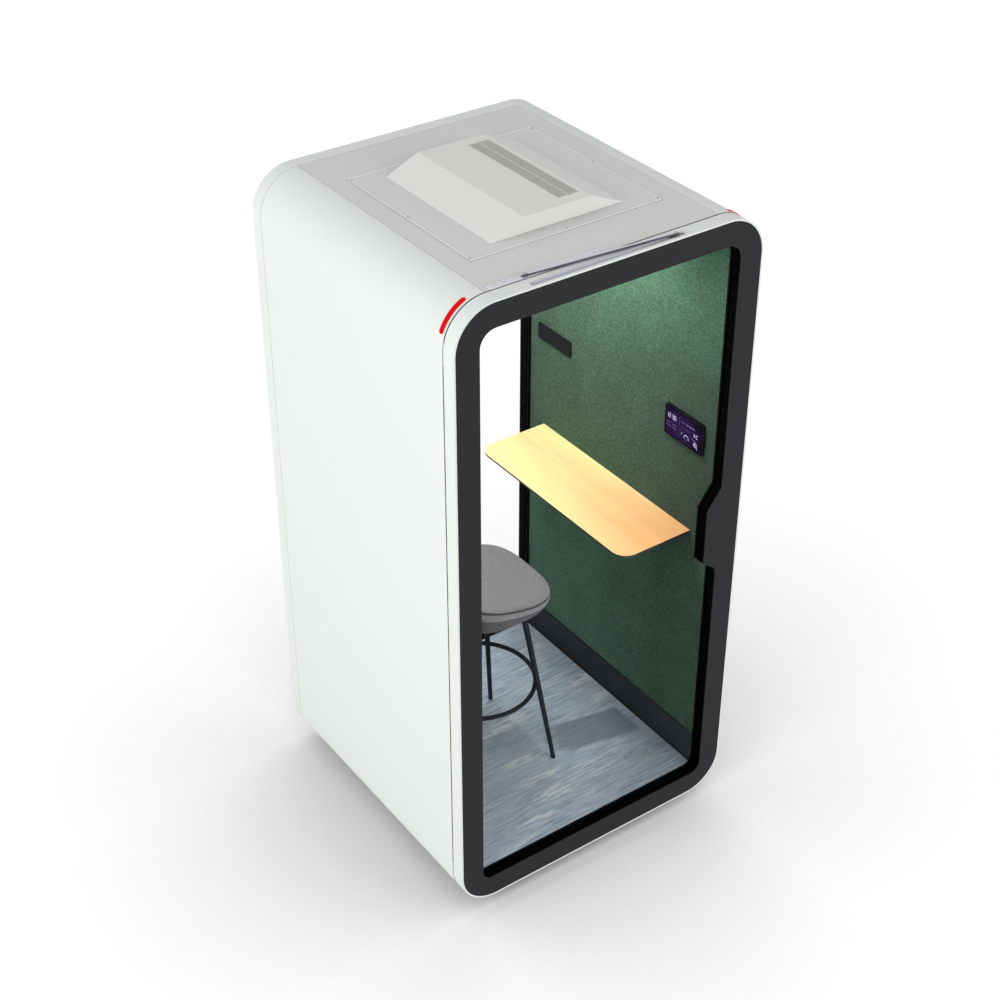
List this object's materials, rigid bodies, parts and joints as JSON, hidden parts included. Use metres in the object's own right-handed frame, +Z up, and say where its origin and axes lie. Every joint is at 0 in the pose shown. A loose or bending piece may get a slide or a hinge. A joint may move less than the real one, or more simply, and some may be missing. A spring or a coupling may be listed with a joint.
{
  "type": "acoustic office pod",
  "caption": "Freestanding acoustic pod for one person with a rounded white shell, full-height glass door, felt-lined cabin, wall desk, bar stool and ventilated roof.",
  "frame": {"origin": "centre of the pod's footprint on the ground, under the levelling feet", "axes": "+X to the right as seen from the front, -Y out of the glass door, +Z up"},
  "size_m": [1.11, 1.104, 2.352],
  "materials": {
    "base_plinth": "black-faced plywood",
    "black_rubber": "matte",
    "board_wood": "raw board",
    "carpet": "loop pile carpet tiles, streaked blue-grey",
    "shell_white": "smooth satin white",
    "rim_white": "satin white powder coat",
    "roof_grey": "satin light grey",
    "access_grey": "satin light grey",
    "wool": "mineral wool board",
    "felt_green": "heathered green wool felt",
    "skirting_dark": "satin",
    "frame_black": "matte black",
    "border_grey": "matte dark grey",
    "clear_glass": "clear laminated glass",
    "seal_rubber": "matte black",
    "ceiling_white": "matte",
    "light_metal": "satin",
    "light_diffuser": "opal, lit from behind",
    "fan_black": "matte",
    "screw_steel": "plated",
    "vent_white": "satin light grey",
    "grille_grey": "perforated, satin",
    "status_red": "lit red lens",
    "maple": "maple veneer, satin lacquer",
    "bracket_dark": "matte",
    "display_black": "gloss black",
    "display_glass": "lit dark purple screen under cover glass",
    "plate_dark": "satin",
    "closer_metal": "satin silver grey",
    "closer_dark": "satin dark grey",
    "seat_fabric": "fine grey upholstery weave",
    "seat_shell_fabric": "fine grey upholstery weave",
    "stool_metal": "anthracite powder coat"
  },
  "bodies": {
    "pod": {"base_frame": "base_plinth", "levelling_feet": "black_rubber", "floor_board": "board_wood", "carpet": "carpet", "side_shell_left": "shell_white", "side_shell_right": "shell_white", "roof_panel": "roof_grey", "insulation_left": "wool", "insulation_right": "wool", "insulation_roof": "wool", "felt_panel_left": "felt_green", "felt_panel_right": "felt_green", "skirting_left": "skirting_dark", "skirting_right": "skirting_dark", "jamb_front": "frame_black", "jamb_rear": "frame_black", "rear_rim": "rim_white", "rear_face_plate": "border_grey", "rear_core_frame": "frame_black", "rear_glass": "clear_glass", "rear_bead": "seal_rubber", "ceiling_panel": "ceiling_white", "ceiling_light_frame": "light_metal", "ceiling_light_diffuser": "light_diffuser", "ceiling_inlet": "fan_black", "fan_housing_front": "fan_black", "fan_housing_rear": "fan_black", "power_supply": "light_metal", "access_panel": "access_grey", "access_screws": "screw_steel", "vent_housing": "vent_white", "vent_grille": "grille_grey", "mains_inlet": "fan_black", "status_light_left": "status_red", "status_light_right": "status_red", "desk_top": "maple", "desk_brackets": "bracket_dark", "display_housing": "display_black", "display_screen": "display_glass", "control_plate": "plate_dark", "hinge_body_leaf": "screw_steel", "hinge_pin": "screw_steel", "latch_keeper": "screw_steel", "closer_case": "light_metal", "closer_cover": "closer_metal"},
    "door": {"door_rim": "rim_white", "door_face_plate": "border_grey", "door_core_frame": "frame_black", "door_glass": "clear_glass", "door_bead": "seal_rubber", "door_fittings": "seal_rubber", "closer_rail": "closer_metal"},
    "closer_arm": {"closer_arm": "closer_dark"},
    "closer_slider": {"closer_slider": "fan_black"},
    "fan_front": {"fan_rotor_front": "fan_black"},
    "fan_rear": {"fan_rotor_rear": "fan_black"},
    "stool": {"stool_cushion": "seat_fabric", "stool_seat_shell": "seat_shell_fabric", "stool_frame": "stool_metal", "stool_glides": "black_rubber"}
  },
  "joints": [
    {"name": "door_swing", "type": "hinge", "parent": "pod", "child": "door", "pos_m": [-0.5525, -0.5, 1.1725], "axis": [0, 0, -1], "range_deg": [0, 90]},
    {"name": "closer_arm_swing", "type": "hinge", "parent": "pod", "child": "closer_arm", "pos_m": [-0.278, -0.491, 2.305], "axis": [0, 0, -1], "range_deg": [0, 123.1]},
    {"name": "slider_travel", "type": "slide", "parent": "door", "child": "closer_slider", "axis": [1, 0, 0], "range_m": [-0.388, 0]},
    {"name": "fan_front_spin", "type": "hinge", "parent": "pod", "child": "fan_front", "pos_m": [0.07, -0.12, 2.265], "axis": [0, 0, 1], "continuous": true},
    {"name": "fan_rear_spin", "type": "hinge", "parent": "pod", "child": "fan_rear", "pos_m": [0.07, 0.12, 2.265], "axis": [0, 0, 1], "continuous": true},
    {"name": "stool_slide", "type": "slide", "parent": "pod", "child": "stool", "axis": [1, 0, 0], "range_m": [-0.13, 0.13]}
  ],
  "couplings": [
    {"joint": "closer_arm_swing", "follows": "door_swing", "ratio": 1.3669},
    {"joint": "slider_travel", "follows": "door_swing", "m_per_rad": -0.24681}
  ]
}
